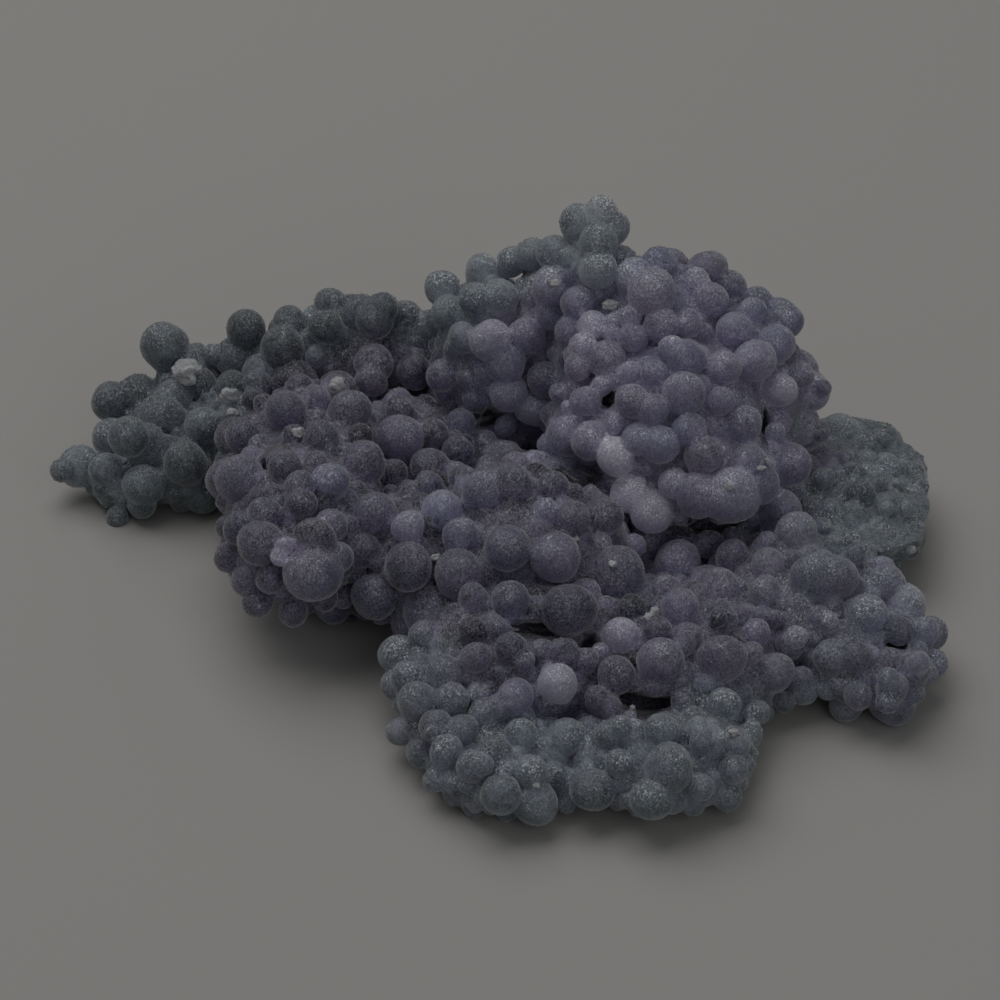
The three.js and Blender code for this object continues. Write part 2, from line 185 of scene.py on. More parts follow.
zoneFinish = {
    # how green and how light each zone is, the lightness partly the zone's own colour and partly painted
    # shade on the low centre, valley and left zones and painted light on the mound; the size of the beads
    # between the measured ones; and how light the bare crust in the gaps is, darker there as painted shade
    "peak": (0.95, 0.7, 0.9, 0.1),
    "backRim": (0.85, 0.28, 0.9, -0.1),
    "mound": (0.0, 0.18, 0.9, 0.1),
    "backRight": (0.35, -0.1, 1.0, -0.1),
    "centre": (0.08, -0.32, 0.9, -0.5),
    "rightShoulder": (0.45, 0.0, 0.8, -0.25),
    "slab": (0.9, 0.03, 0.6, -0.1),
    "plate": (0.2, -0.34, 0.85, -0.6),
    "frontLip": (0.75, 0.15, 0.8, -0.1),
    "leftTongue": (0.65, 0.1, 0.8, -0.3),
    "leftMass": (0.08, -0.4, 0.9, -0.55),
    "wing": (0.85, -0.05, 0.9, -0.3),
    "backRidge": (0.85, -0.3, 0.9, -0.5),
    "valley": (0.15, -0.4, 0.9, -0.55),
}

beadRules = {
    "proud": 0.3,               # how far a measured bead stands out of the crust, in radii
    "lift": 0.08,               # how much further it stands out here than in the solid
    "slabSink": 0.5,            # but on the flat slab it is sunk by this much
    "swell": 1.03,              # real radius over seen radius
    "fill": (1.1, 1.6, 0.86),   # least and most radius, and spacing, of the beads between them
    "hidden": (1.7, 2.5, 0.78),  # the same on the sides that the line of sight misses
    "hiddenShrink": 0.82,       # radius of the hidden beads here over that in the solid
    "triesPerLobe": 90,
    "drawsStart": 7,
    "lowest": 1.2,              # mm; least height of a bead's centre
    "seenMargin": 1,            # mm that a seen point may lie behind the crust's surface
}


def depthOfCrust(ray):
    # the nearest lobe that the ray meets, or the one it passes closest
    fromEye = (eye - lobeCentres) / lobeHalves
    along = ray / lobeHalves
    square = (along * along).sum(1)
    mixed = (fromEye * along).sum(1)
    level = (fromEye * fromEye).sum(1) - mixed * mixed / square
    isHit = level < 1
    if isHit.any():
        reach = np.sqrt(square * np.clip(1 - level, 0, None))
        return ((-mixed - reach) / square)[isHit].min()
    closest = level.argmin()
    return -mixed[closest] / square[closest]


def seenBead(across, up, seenRadius):
    ray = sightRay(across, up)
    depth = depthOfCrust(ray) - beadRules["proud"] * seenRadius / sight["distance"]
    return eye + ray * depth, seenRadius * depth * beadRules["swell"]


class EvenDraws:
    # the same row of numbers between 0 and 1 that the solid is made with
    factor = 1664525
    step = 1013904223
    size = 2**32

    def __init__(self, start):
        self.state = start

    def next(self):
        self.state = (self.state * self.factor + self.step) % self.size
        return self.state / self.size


def isSeen(point):
    ray = point - eye
    length = np.linalg.norm(ray)
    return depthOfCrust(ray) * length > length - beadRules["seenMargin"]


def levelInLobes(point):
    return (((point - lobeCentres) / lobeHalves) ** 2).sum(1)


def goldenDirection(i, count, extraTurn):
    # the directions for i from 0 to count are spread evenly over a ball
    height = 1 - (2 * i + 1) / count
    ring = math.sqrt(1 - height * height)
    turn = math.pi * (3 - math.sqrt(5)) * i + extraTurn
    return np.array([ring * math.cos(turn), ring * math.sin(turn), height])


def otherSizes(centres, radii):
    # the beads between the measured ones are as fine as their zone, and finer on the hidden sides
    gaps = np.linalg.norm(centres[seenCount:, None] - centres[:seenCount], axis=2)
    sizes = np.array(beadZones)[gaps.argmin(1), 2]
    return np.where(radii[seenCount:] > beadRules["fill"][1], beadRules["hiddenShrink"], sizes)


def isCrowded(centre, radius, spacing, centres, radii):
    return (np.linalg.norm(centres - centre, axis=1) < spacing * (radii + radius)).any()


def addOtherBeads(centres, radii):
    evenDraws = EvenDraws(beadRules["drawsStart"])
    for lobe in range(len(lobes)):
        for i in range(beadRules["triesPerLobe"]):
            direction = goldenDirection(i, beadRules["triesPerLobe"], evenDraws.next())
            centre = lobeCentres[lobe] + direction * lobeHalves[lobe]
            least, most, spacing = beadRules["fill" if isSeen(centre) else "hidden"]
            radius = least + (most - least) * evenDraws.next()
            levels = levelInLobes(centre)
            levels[lobe] = 1
            if centre[2] <= beadRules["lowest"] or (levels < 1).any():
                continue
            if not isCrowded(centre, radius, spacing, centres, radii):
                centres, radii = np.vstack([centres, centre]), np.append(radii, radius)
    return centres, radii


def depthOfSurface(ray, centres, radii):
    # the nearest lobe or bead that the ray meets
    fromEye = eye - centres
    square = ray @ ray
    mixed = fromEye @ ray
    under = mixed * mixed - square * ((fromEye * fromEye).sum(1) - radii * radii)
    isHit = under > 0
    depth = depthOfCrust(ray)
    if isHit.any():
        depth = min(depth, ((-mixed - np.sqrt(np.clip(under, 0, None))) / square)[isHit].min())
    return depth


# the small beads that sit on the others or in the gaps between them, measured the same way
smallBeads = [
    (9.0, 13.3, 0.85), (10.4, 10.3, 0.95), (16.3, 13.4, 0.8), (25.9, 9.0, 0.7), (23.9, 10, 1.2),
    (22, 5.4, 0.9), (11.6, 2.5, 0.6), (5.4, 7.5, 0.6), (9.2, 6.1, 0.9), (15.6, 17.3, 1.3),
    (23.0, 14.3, 1.3), (6.6, 12.3, 1.1), (6.3, 10.6, 1.2), (16.7, -3.5, 1.2), (21.3, -3.3, 0.9),
    (29.7, -5.1, 0.5), (25.6, 5.4, 0.9), (25.9, 1.8, 1.0), (28.6, 2.3, 0.7), (27.7, 3.3, 0.7),
    (30.6, 1.4, 0.6), (32.1, 2.3, 0.9), (32.8, 0.6, 0.6), (31.4, 0.1, 0.35), (30.9, -0.7, 0.7),
    (32.4, -0.6, 0.6), (28, -1.7, 0.6), (26.1, -2.3, 0.5), (28.4, -4.3, 0.9), (29.4, -2.4, 0.6),
    (32.1, -4, 0.8), (32.8, -3.9, 0.5), (33.6, -5.6, 0.5), (23.7, -11, 1.0), (26.4, -9.9, 0.9),
    (24.1, -14.2, 1.0), (31.1, -14.3, 1.0), (33.5, -13, 1.0), (33.1, -15.4, 1.0), (31, -16.2, 1.0),
    (14.7, -11.6, 1.0), (20.1, -12.2, 1.0), (17.4, -9.5, 0.8), (19.3, -9.2, 0.9), (21.0, -9.3, 0.9),
    (22, -9.5, 0.8), (8.0, -12.1, 0.8), (8.6, -8.6, 1.0), (2, -12.9, 0.9), (-0.1, -16.6, 1.2),
    (7.7, -15.7, 1.0), (8.9, -16.6, 1.0), (15.8, -18.1, 1.0), (20.3, -17.1, 0.9), (17.7, -19.1, 0.8),
    (16.1, -19.4, 1.0), (-1.4, -21.2, 1.0), (0.3, -21.4, 1.1), (4.4, -21.9, 1.0), (9.7, -18.1, 1.0),
    (-1.9, -15.5, 1.0), (-6.6, -19.6, 0.5), (-5.5, -18.7, 0.6), (-1.4, -17, 1.2), (5.3, -24.3, 0.9),
    (-11.2, 5.1, 1.1), (-16, 1.2, 1.2), (-17.2, -3.6, 0.85), (-17.7, -4.6, 0.75), (-8.6, 2, 1.2),
    (-8, 7.1, 1.2), (-12.6, -7.9, 0.9), (-11.9, -9.6, 0.5), (-10.3, 9.5, 1.3), (-35.1, 2.3, 1.0),
    (-29.6, 5, 1.7), (-27.1, 6.7, 1.8), (-30.6, -1.3, 1.0), (-9.4, 15.5, 1.2), (-10.1, 14.3, 1.5),
    (-22.9, 11.7, 0.9), (-19.4, 9.3, 1.2), (31.3, 5.5, 0.45), (30.6, 4.9, 0.6),
    (5.1, -12.3, 1.3), (3.3, -12.1, 1.0), (6.9, -12.8, 1.1), (-2.2, -10.5, 1.2), (-0.3, -10.2, 1.0),
    (12.3, 10.2, 1.1), (10.4, 14.6, 1.0), (9.1, 14.2, 0.8), (13.6, 12.3, 1.0), (8.1, 9.2, 0.9),
]

smallBeadRules = {
    "proud": 0.15,
    "triesPerLobe": 480,
    "least": 0.55,
    "most": 1.1,
    "spacing": 0.82,
    "crowdedBy": 1.3,           # only beads up to this radius keep a gap bead away
    "mostSunk": 0.2,            # how far its centre may lie inside another bead, in radii
    "leastLevel": 0.9,          # 1 is the surface of another lobe, and 0 its centre
    "lowest": 0.8,
}


def addSmallBeads(centres, radii):
    added, addedRadii = [], []
    for across, up, seenRadius in smallBeads:
        ray = sightRay(across, up)
        depth = depthOfSurface(ray, centres, radii)
        depth -= smallBeadRules["proud"] * seenRadius / sight["distance"]
        added.append(eye + ray * depth)
        addedRadii.append(seenRadius * depth * beadRules["swell"])
    return np.vstack([centres, added]), np.append(radii, addedRadii)


def addGapBeads(centres, radii):
    # small beads on the crust, wherever the larger ones leave it bare
    rules = smallBeadRules
    for lobe in range(len(lobes)):
        for i in range(rules["triesPerLobe"]):
            turn, size = draws.rand(2)
            direction = goldenDirection(i, rules["triesPerLobe"], turn)
            radius = rules["least"] + (rules["most"] - rules["least"]) * size
            centre = lobeCentres[lobe] + direction * (lobeHalves[lobe] - crustLook["inset"])
            levels = levelInLobes(centre)
            levels[lobe] = 1
            if centre[2] < rules["lowest"] or (levels < rules["leastLevel"]).any():
                continue
            gaps = np.linalg.norm(centres - centre, axis=1)
            if (gaps < radii - rules["mostSunk"] * radius).any():
                continue
            isSmall = radii < rules["crowdedBy"]
            if not isCrowded(centre, radius, rules["spacing"], centres[isSmall], radii[isSmall]):
                centres, radii = np.vstack([centres, centre]), np.append(radii, radius)
    return centres, radii


# making the fused stone

# subdivisions of the balls that the beads, lobes, hollows and grains start from
ballFineness = {"coarse": 2, "middling": 3, "fine": 4, "finest": 5}

crustLook = {
    "inset": 0.35,              # mm from the measured surface down to the bare crust between beads
    "grainSize": 1.3,           # small swellings of the bare crust, mm
    "grainReach": 0.75,         # radius of a swelling, in grain sizes
    "grainHeight": 0.35,
    "largeLobe": 6,             # lobes with a half size over this have finer faces
    "softenSteps": 1,           # rounds of smoothing, which fill the creases a little
    "softenShare": 0.5,
    "baseHeight": 0.01,         # mm; the flat base below this stays as it is
    "leastEdge": 0.0002,        # mm; faces with a shorter edge are taken out
    "cleanings": 3,
    "mostTriangles": 195000,
    "creaseAngle": 60,
}

beadLook = {
    "large": 1.1,               # beads over this radius have finer faces
    "unevenness": 0.04,
    "waves": 3,                 # each bead swells along this many waves
    "waveTurn": 1.6,            # radians of a wave over one radius, on average
    "waveShift": 6,             # radians that a wave is shifted by at most
    "mostTurn": 3,              # radians that the bead is turned by at most
}

hollowLook = {
    "depth": 3.2,               # mm to either side of the crust, along the line of sight
    "unevenness": 0.7,
    "waveTurn": 1.3,
}

# the dark gaps in the crust: across, up, half width and half height, in mm
hollows = [
    (3.8, -10.4, 3.2, 0.9), (7.0, -11.6, 1.1, 1.1), (11.4, -16.2, 2.6, 1.0), (16.6, -2.3, 3.4, 1.1),
    (31.6, -11.4, 0.9, 0.7), (6.2, 1.9, 2.0, 1.3), (8.4, 8.2, 0.9, 0.9), (2.6, 4.2, 1.4, 0.9),
    (-5.3, -7.2, 0.9, 0.6), (-1.0, 6.6, 1.4, 0.8), (21.4, 5.9, 0.6, 1.3), (-18.7, 2.8, 0.6, 0.6),
]

# the edge of the flat slab on the right, across and up in mm
slabEdge = [
    (24.5, -2.0), (27.0, -3.5), (30.5, -4.2), (33.6, -3.2), (34.0, -1.8), (34.3, -0.3), (34.3, 2.2),
    (33.9, 3.5), (32.2, 5.0), (31.3, 6.1), (30.4, 5.4), (29.8, 5.0), (28.5, 6.1), (27.1, 6.9), (25.7, 6.6),
    (23.5, 4.0),
]
slabLook = {
    "height": 6.2,              # mm at the left, from which it slopes down to the right
    "slope": 0.13,
    "thickness": 2.6,
    "flare": 0.9,               # size of the underside over that of the top
    "halvings": 4,
    "grainSize": 0.9,
    "broadGrain": 3,            # size of its broader swellings, in grain sizes
    "grainHeight": 0.3,
}


def slabObject():
    # a plate under the measured edge, its faces halved until they are fine enough to be uneven
    top = []
    for across, up in slabEdge:
        ray = sightRay(across, up)
        height = slabLook["height"] - slabLook["slope"] * (across - slabEdge[0][0])
        top.append(eye + ray * (height - eye[2]) / ray[2])
    top = np.array(top)
    below = top.mean(0) + (top - top.mean(0)) * slabLook["flare"] - (0, 0, slabLook["thickness"])
    count = len(top)
    slab = bmesh.new()
    corners = [slab.verts.new(point) for point in (*top, *below)]
    slab.faces.new(corners[:count])
    slab.faces.new(corners[:count - 1:-1])
    for k in range(count):
        after = (k + 1) % count
        slab.faces.new([corners[k], corners[k + count], corners[after + count], corners[after]])
    bmesh.ops.triangulate(slab, faces=slab.faces)
    for halving in range(slabLook["halvings"]):
        bmesh.ops.subdivide_edges(slab, edges=slab.edges, cuts=1, use_grid_fill=True)
        bmesh.ops.triangulate(slab, faces=slab.faces)
    slab.normal_update()
    for vert in slab.verts:
        place = vert.co / slabLook["grainSize"]
        uneven = noise.noise(place) + noise.noise(place / slabLook["broadGrain"])
        vert.co += vert.normal * (uneven * slabLook["grainHeight"])
    mesh = bpy.data.meshes.new("slab")
    slab.to_mesh(mesh)
    slab.free()
    print("slab plate made:", len(mesh.polygons), "triangles")
    return bpy.data.objects.new("slab", mesh)


def ballPoints(subdivisions):
    ball = bmesh.new()
    bmesh.ops.create_icosphere(ball, subdivisions=subdivisions, radius=1)
    points = np.array([vert.co for vert in ball.verts])
    faces = [[vert.index for vert in face.verts] for face in ball.faces]
    ball.free()
    return points, faces


balls = {name: ballPoints(fineness) for name, fineness in ballFineness.items()}


def unevenAt(places):
    return np.array([noise.noise(Vector(place)) for place in places])


def objectFrom(name, points, faces):
    mesh = bpy.data.meshes.new(name)
    mesh.from_pydata(points.tolist(), [], faces)
    return bpy.data.objects.new(name, mesh)


def beadObject(centre, radius):
    points, faces = balls["middling" if radius > beadLook["large"] else "coarse"]
    swelling = np.zeros(len(points))
    for wave in range(beadLook["waves"]):
        direction = draws.normal(size=3)
        swelling += np.sin(points @ direction * beadLook["waveTurn"] + draws.rand() * beadLook["waveShift"])
    scale = radius * (1 + beadLook["unevenness"] * swelling)
    angle = draws.rand() * beadLook["mostTurn"]
    turn = np.array(Matrix.Rotation(angle, 3, Vector(draws.normal(size=3))))
    return objectFrom("bead", (points * scale[:, None]) @ turn.T + centre, faces)


def lobeObject(name, centre, halves):
    points, faces = balls["finest" if max(halves) > crustLook["largeLobe"] else "fine"]
    halves = halves - crustLook["inset"]
    outward = points / halves
    outward /= np.linalg.norm(outward, axis=1)[:, None]
    placed = points * halves + centre
    swelling = np.empty(len(placed))
    for i, point in enumerate(placed):
        near = noise.voronoi(Vector(point / crustLook["grainSize"]))[0][0]
        swelling[i] = math.sqrt(max(0, 1 - (near / crustLook["grainReach"]) ** 2))
    placed += outward * (swelling * crustLook["grainHeight"])[:, None]
    return objectFrom(name, placed, faces)


def combined(base, others, operation):
    # base joined with the others, or cut by them, as a new mesh
    group = bpy.data.collections.new("others")
    bpy.context.scene.collection.children.link(group)
    for other in others:
        group.objects.link(other)
    bpy.context.scene.collection.objects.link(base)
    join = base.modifiers.new("join", "BOOLEAN")
    join.operation = operation
    join.operand_type = "COLLECTION"
    join.collection = group
    join.solver = "MANIFOLD"
    evaluated = base.evaluated_get(bpy.context.evaluated_depsgraph_get())
    mesh = bpy.data.meshes.new_from_object(evaluated)
    for used in [base, *others]:
        bpy.data.meshes.remove(used.data)
    bpy.data.collections.remove(group)
    return mesh


def largestShell(mesh):
    # keeps the outer skin and drops the gaps that stay sealed between beads
    edges = np.empty(len(mesh.edges) * 2, int)
    mesh.edges.foreach_get("vertices", edges)
    edges = edges.reshape(-1, 2)
    label = np.arange(len(mesh.vertices))
    while True:
        least = np.minimum(label[edges[:, 0]], label[edges[:, 1]])
        before = label.copy()
        np.minimum.at(label, edges[:, 0], least)
        np.minimum.at(label, edges[:, 1], least)
        label = label[label]
        if (label == before).all():
            break
    shells = np.bincount(label)
    kept = shells.argmax()
    print("loose shells dropped:", (shells > 0).sum() - 1)
    shell = bmesh.new()
    shell.from_mesh(mesh)
    spare = [vert for vert, own in zip(shell.verts, label) if own != kept]
    bmesh.ops.delete(shell, geom=spare, context="VERTS")
    bmesh.ops.triangulate(shell, faces=shell.faces)
    shell.to_mesh(mesh)
    shell.free()


def hollowObject(across, up, halfAcross, halfUp):
    points, faces = balls["fine"]
    uneven = unevenAt(points * hollowLook["waveTurn"] + (across, up, 0))
    points = points * (1 + hollowLook["unevenness"] * uneven)[:, None]
    ray = sightRay(across, up)
    axes = np.array([(halfAcross, 0, 0), forward * hollowLook["depth"], upward * halfUp])
    return objectFrom("hollow", points @ axes + eye + ray * depthOfCrust(ray), faces)


def isInHollow(points):
    # whether each point lies within a hollow's outline and depth
    fromEye = points - eye
    depth = fromEye @ forward / sight["distance"]
    across, up = fromEye[:, 0] / depth, fromEye @ upward / depth
    isInside = np.zeros(len(points), bool)
    for hollow in hollows:
        level = ((across - hollow[0]) / hollow[2]) ** 2 + ((up - hollow[1]) / hollow[3]) ** 2
        away = np.abs(depth - depthOfCrust(sightRay(*hollow[:2]))) * sight["distance"]
        isInside |= (level < 1) & (away < hollowLook["depth"])
    return isInside


def thinned(mesh, most):
    # fewer triangles where there are more than the limit
    if len(mesh.polygons) <= most:
        return mesh
    full = bpy.data.objects.new("full", mesh)
    bpy.context.scene.collection.objects.link(full)
    thinning = full.modifiers.new("thinning", "DECIMATE")
    thinning.ratio = most / len(mesh.polygons)
    evaluated = full.evaluated_get(bpy.context.evaluated_depsgraph_get())
    thin = bpy.data.meshes.new_from_object(evaluated)
    bpy.data.meshes.remove(mesh)
    return thin


def clean(mesh):
    # takes out faces without an area and faces beside the closed skin, and levels the flat base
    for step in range(crustLook["cleanings"]):
        cleaning = bmesh.new()
        cleaning.from_mesh(mesh)
        bmesh.ops.dissolve_degenerate(cleaning, dist=crustLook["leastEdge"], edges=cleaning.edges)
        bmesh.ops.triangulate(cleaning, faces=cleaning.faces)
        beside = {face for edge in cleaning.edges if edge.is_boundary for face in edge.link_faces}
        bmesh.ops.delete(cleaning, geom=list(beside), context="FACES")
        for vert in cleaning.verts:
            vert.co.z = max(0, vert.co.z)
        cleaning.to_mesh(mesh)
        cleaning.free()
        mesh.validate()


def soften(mesh):
    # rounds the creases between beads, and leaves the flat base as it is
    soft = bmesh.new()
    soft.from_mesh(mesh)
    grownPoints = [vert for vert in soft.verts if vert.co.z > crustLook["baseHeight"]]
    for step in range(crustLook["softenSteps"]):
        bmesh.ops.smooth_vert(soft, verts=grownPoints, factor=crustLook["softenShare"],
                              use_axis_x=True, use_axis_y=True, use_axis_z=True)
    soft.to_mesh(mesh)
    soft.free()


def cutterObject():
    # a block under the table, which cuts the base flat
    reach = 200
    corners = np.array([(x, y, z) for x in (-1, 1) for y in (-1, 1) for z in (-1, 0)], float)
    faces = [(0, 1, 3, 2), (4, 6, 7, 5), (0, 4, 5, 1), (2, 3, 7, 6), (0, 2, 6, 4), (1, 5, 7, 3)]
    return objectFrom("cutter", corners * reach, faces)


# the beads, measured ones first, then those between them and those of the hidden sides
measured = [seenBead(*bead) for zone in seenBeads.values() for bead in zone]
beadZones = [zoneFinish[zone] for zone, places in seenBeads.items() for place in places]
seenCount = len(measured)
centres = np.array([centre for centre, radius in measured])
radii = np.array([radius for centre, radius in measured])
centres, radii = addOtherBeads(centres, radii)
print("beads as in the solid:", len(centres))
isOnSlab = np.array([zone == "slab" for zone, places in seenBeads.items() for place in places])
lifts = np.where(isOnSlab, -beadRules["slabSink"], beadRules["lift"])
centres[:seenCount] -= forward * (radii[:seenCount] * lifts)[:, None]
radii[seenCount:] *= otherSizes(centres, radii)
centres, radii = addGapBeads(centres, radii)
isKept = ~isInHollow(centres)
isKept[:seenCount] = True
centres, radii = centres[isKept], radii[isKept]
centres, radii = addSmallBeads(centres, radii)
print("beads in all:", len(centres))

lobeObjects = [lobeObject(*lobe) for lobe in zip(lobes, lobeCentres, lobeHalves)]
beadObjects = [beadObject(*bead) for bead in zip(centres, radii)]
print("lobes and beads made")
grown = combined(lobeObjects[0], [*lobeObjects[1:], slabObject()], "UNION")
hollowObjects = [hollowObject(*hollow) for hollow in hollows]
for others, operation in ((hollowObjects, "DIFFERENCE"), (beadObjects, "UNION"),
                          ([cutterObject()], "DIFFERENCE")):
    grown = combined(bpy.data.objects.new("grown", grown), others, operation)
largestShell(grown)
print("stone before thinning:", len(grown.polygons), "triangles")
grown = thinned(grown, crustLook["mostTriangles"])
clean(grown)
print("stone fused:", len(grown.polygons), "triangles")


# where the stone is green, and which beads are light

finishRules = {
    "blendReach": 2.2,          # mm over which one zone turns into the next
    "farReach": 6.0,            # mm from the measured beads to the plain rim colour
    "farFinish": (0.8, -0.15, -0.3),    # green, tone, and tone of the gaps, which is painted shade
    # painted shade: how dark the hollows in the crust are painted
    "hollowPaintedShade": -0.75,
    "beadSpread": 0.17,         # how much the tone of one bead differs from the next
    "onBead": 0.15,             # how far from a bead's ball its own tone reaches, in radii
    "samePlace": 0.05,          # mm within which a bead is the one that is listed
    "leastWeight": 1e-12,
    "pointsAtOnce": 4000,
}

paintedLightBeads = [
    # across, up, and how much lighter these prominent beads are painted, as painted light where they stand
    # out into the light
    (-14.9, -6.0, 0.4), (-7.3, -2.1, 0.6), (2.8, 7.4, 0.3), (9.2, 3.5, 0.9), (10.3, 0.5, 1.0),
    (12.1, -0.9, 0.65), (13.9, 1.3, 0.5), (4.7, -14.7, 1.1), (9.7, -10.7, 1.0), (23.7, -11, 0.7),
    (14.4, -8.7, 0.4), (20.5, -10.6, 0.4), (21.3, -3.3, 0.7), (-17.2, -3.6, 0.7), (-17.7, -4.6, 0.7),
    (7.4, 13.9, 0.3), (4.3, 17.1, 0.25), (24.7, 8.6, 0.35), (22.4, 8.8, 0.35), (-19.2, -3.4, 0.2),
    (0.6, 8.6, 0.2), (-0.8, 12.7, 0.2), (17.8, -12.6, 0.3), (12.9, -12.9, 0.3), (-1.3, 0.6, 0.35),
    (-10.1, -1.2, 0.2), (30.8, -6.7, 0.3), (32.3, -8.4, 0.6), (8.0, -12.1, 0.4), (26.4, -9.9, 0.4),
    (-3.1, -2.9, 0.35), (-3.6, 1.6, 0.3), (-4.6, -0.9, 0.35), (20.0, 3.0, 0.1), (29.3, -9.2, 0.3),
    (1.3, -15.7, 0.2),
]


def beadTonesAndPaintedLight(centres):
    # each bead's own lightness, by chance, plus painted light on the listed prominent beads
    tonesAndPaintedLight = draws.normal(scale=finishRules["beadSpread"], size=len(centres))
    fromEye = centres - eye
    along = fromEye @ forward / sight["distance"]
    places = np.column_stack([fromEye[:, 0] / along, fromEye @ upward / along])
    seen = np.array([place for zone in seenBeads.values() for place in zone] + smallBeads)
    for across, up, lighter in paintedLightBeads:
        nearest = np.hypot(*(seen[:, :2] - (across, up)).T).argmin()
        away = np.hypot(*(places - seen[nearest, :2]).T)
        tonesAndPaintedLight[away < finishRules["samePlace"]] += lighter
    return tonesAndPaintedLight


def finishAt(points, centres, radii, tonesAndPaintedLight):
    # green and tone at each point: the zones blend, each bead has its own tone, and the tone also holds
    # painted shade in the gaps and hollows and painted light on the listed beads
    zoneOf = np.array(beadZones)[:, [0, 1, 3]]
    zoneCentres = centres[:len(zoneOf)]
    reach = finishRules["blendReach"]
    far = math.exp(-(finishRules["farReach"] / reach) ** 2)
    finish = np.empty((len(points), 2))
    for start in range(0, len(points), finishRules["pointsAtOnce"]):
        some = points[start:start + finishRules["pointsAtOnce"]]
        gaps = np.linalg.norm(some[:, None] - zoneCentres, axis=2)
        weights = np.exp(-(gaps / reach) ** 2) + finishRules["leastWeight"]
        total = weights.sum(1) + far
        zone = (weights @ zoneOf + far * np.array(finishRules["farFinish"])) / total[:, None]
        depth = np.abs(np.linalg.norm(some[:, None] - centres, axis=2) - radii)
        own = depth.argmin(1)
        isOnBead = depth.min(1) < finishRules["onBead"] * radii[own]
        # painted shade: the bare crust between the beads is darkened, and the hollows most
        paintedGapShade = np.where(isInHollow(some), finishRules["hollowPaintedShade"], zone[:, 2])
        tone_and_painted_light = np.where(isOnBead, zone[:, 1] + tonesAndPaintedLight[own], paintedGapShade)
        finish[start:start + len(some)] = np.column_stack([zone[:, 0], tone_and_painted_light])
    return finish


def putFinish(mesh, finish):
    # the materials read these two attributes
    for name, values in zip(("green", "tone_and_painted_light"), finish.T):
        attribute = mesh.attributes.new(name, "FLOAT", "POINT")
        attribute.data.foreach_set("value", values.astype(np.float32))


def meshPoints(mesh):
    points = np.empty(len(mesh.vertices) * 3)
    mesh.vertices.foreach_get("co", points)
    return points.reshape(-1, 3)


def pieceFrom(name, mesh, material):
    # a finished piece, from a mesh in mm
    mesh.name = name
    mesh.transform(Matrix.Scale(mm, 4))
    mesh.materials.clear()
    mesh.materials.append(material)
    piece = bpy.data.objects.new(name, mesh)
    bpy.context.scene.collection.objects.link(piece)
    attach(piece, "root")
    return piece


# material helpers

def addNode(tree, kind, **settings):
    node = tree.nodes.new(kind)
    for name, value in settings.items():
        setattr(node, name, value)
    return node


def setSockets(node, values):
    for name, value in values.items():
        node.inputs[name].default_value = value


def noiseNode(tree, place, scale, detail, roughness):
    node = addNode(tree, "ShaderNodeTexNoise")
    setSockets(node, {"Scale": scale, "Detail": detail, "Roughness": roughness})
    tree.links.new(place, node.inputs["Vector"])
    return node.outputs["Fac"]


def rangeNode(tree, value, fromLow, fromHigh, toLow, toHigh):
    node = addNode(tree, "ShaderNodeMapRange")
    setSockets(node, {"From Min": fromLow, "From Max": fromHigh, "To Min": toLow, "To Max": toHigh})
    tree.links.new(value, node.inputs["Value"])
    return node.outputs["Result"]


def mathNode(tree, operation, first, second):
    node = addNode(tree, "ShaderNodeMath", operation=operation)
    for socket, value in zip(node.inputs, (first, second)):
        if isinstance(value, (int, float)):
            socket.default_value = value
        else:
            tree.links.new(value, socket)
    return node.outputs["Value"]


def cellNode(tree, place, scale):
    node = addNode(tree, "ShaderNodeTexVoronoi")
    setSockets(node, {"Scale": scale})
    tree.links.new(place, node.inputs["Vector"])
    return node


def brightnessNode(tree, colour):
    node = addNode(tree, "ShaderNodeRGBToBW")
    tree.links.new(colour, node.inputs["Color"])
    return node.outputs["Val"]


def mixNode(tree, share, first, second):
    node = addNode(tree, "ShaderNodeMix", data_type="RGBA")
    for name, value in (("Factor", share), ("A", first), ("B", second)):
        socket = next(s for s in node.inputs if s.name == name and s.enabled)
        if isinstance(value, (int, float)):
            socket.default_value = value
        elif isinstance(value, tuple):
            socket.default_value = (*value, 1)
        else:
            tree.links.new(value, socket)
    return next(s for s in node.outputs if s.enabled)


# colour of the stone, shared by the crust and the druse

stoneColours = {
    "purple": (0.220, 0.200, 0.286),
    "bluePurple": (0.160, 0.165, 0.252),
    "green": (0.175, 0.212, 0.230),
    "darkGreen": (0.085, 0.112, 0.124),
    # white of the frosted specks, which also stand as painted glints
    "frostAndGlint": (0.66, 0.665, 0.74),
}

stonePattern = {
    # scale, detail and roughness of each noise, and scale of the tiny quartz faces
    "broad": (160, 3, 0.5),
    "patch": (420, 4, 0.6),
    "cloud": (1300, 3, 0.6),
    "cell": 8800,
    "fineCell": 9500,
    "frostAndGlintRarity": 3.5,
    # least and most of a value, and what they are turned into
    "purples": (0.4, 0.62, 0, 1),
    "greens": (0.4, 0.62, 0, 1),
    "wavering": (0.3, 0.7, -0.2, 0.2),
    "edge": (0.2, 0.8, 0, 1),
    # painted highlight: the specks grow lighter on faces that look up into the light
    "frostAndGlintPatches": (0.42, 0.6, 0.3, 1.45),
    "paintedGlintOnTop": (-0.1, 0.85, 0.12, 1.0),
    "faces": (0.2, 0.8, -0.36, 0.36),
    "clouds": (0.3, 0.7, -0.2, 0.2),
    "desaturationByTone": (0.15, 1.1, 1.0, 0.6),
    # heights of the cells and the clouds
    "relief": {"cell": -0.6, "fineCell": -0.3, "cloud": 1.5},
}


